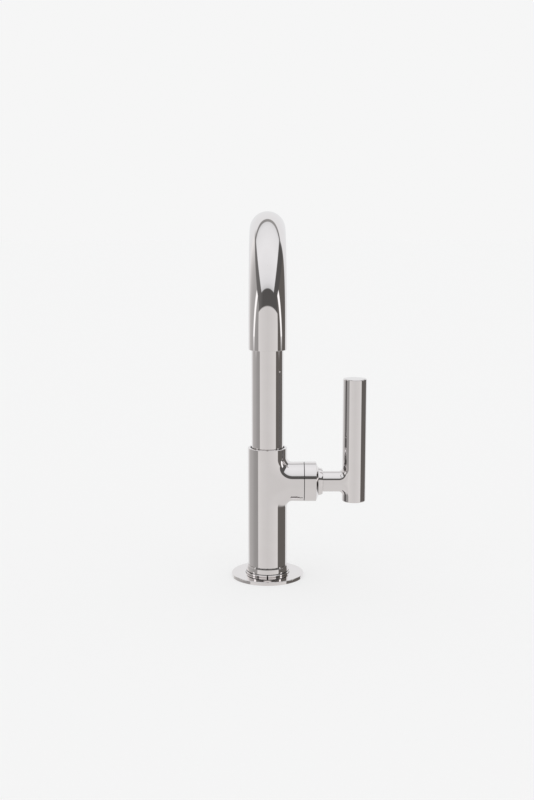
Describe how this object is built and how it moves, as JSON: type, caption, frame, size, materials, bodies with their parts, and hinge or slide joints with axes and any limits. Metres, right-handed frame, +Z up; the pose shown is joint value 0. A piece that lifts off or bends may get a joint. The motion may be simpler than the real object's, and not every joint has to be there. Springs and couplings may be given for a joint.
{
  "type": "lavatory faucet",
  "caption": "Single-hole lavatory faucet with a round tee body, a high swivelling gooseneck spout and a side lever with a ball joint and an upright round handle.",
  "frame": {"origin": "on the deck plane, on the axis of the upright body", "axes": "+Z up, the spout reaches towards -Y, the lever is on +X"},
  "size_m": [0.108, 0.1817, 0.2913],
  "materials": {
    "nickel": "polished nickel plate on brass",
    "brass": "turned",
    "steel": "turned stainless",
    "rubber": "moulded rubber",
    "plastic": "moulded acetal",
    "screen_plastic": "moulded grey plastic",
    "ceramic": "lapped ceramic"
  },
  "bodies": {
    "base": {"escutcheon_flange": "nickel", "base_ring": "nickel", "deck_seal": "rubber", "faucet_body": "nickel", "spout_lock_screw": "steel", "cartridge_bonnet": "nickel", "cartridge_nut": "brass", "cartridge_housing": "plastic", "cartridge_base": "plastic", "port_seals": "rubber", "fixed_disc": "ceramic"},
    "spout": {"spout_tube": "nickel", "spout_shank": "brass", "shank_seal_upper": "rubber", "shank_seal_lower": "rubber", "glide_ring": "plastic", "outlet_bush": "brass", "aerator_shell": "plastic", "aerator_core": "plastic", "aerator_screen": "screen_plastic", "aerator_washer": "rubber"},
    "rotor": {"cartridge_rotor": "plastic", "rotor_seal": "rubber", "stem_pin": "steel"},
    "lever": {"cartridge_stem": "steel", "lever_ball": "nickel", "lever_handle": "nickel", "lever_set_screw": "steel"},
    "disc": {"disc_carrier": "plastic", "moving_disc": "ceramic"}
  },
  "joints": [
    {"name": "spout_swivel", "type": "hinge", "parent": "base", "child": "spout", "pos_m": [0, 0, 0.1], "axis": [0, 0, 1], "range_deg": [-60, 60]},
    {"name": "lever_mix", "type": "hinge", "parent": "base", "child": "rotor", "pos_m": [0.0395, 0, 0.078], "axis": [1, 0, 0], "range_deg": [-45, 45]},
    {"name": "lever_flow", "type": "hinge", "parent": "rotor", "child": "lever", "pos_m": [0.0395, 0, 0.078], "axis": [0, 1, 0], "range_deg": [0, 20]},
    {"name": "disc_slide", "type": "slide", "parent": "rotor", "child": "disc", "axis": [0, 0, 1], "range_m": [0, 0.00623]}
  ],
  "couplings": [
    {"joint": "disc_slide", "follows": "lever_flow", "m_per_rad": 0.017809}
  ]
}
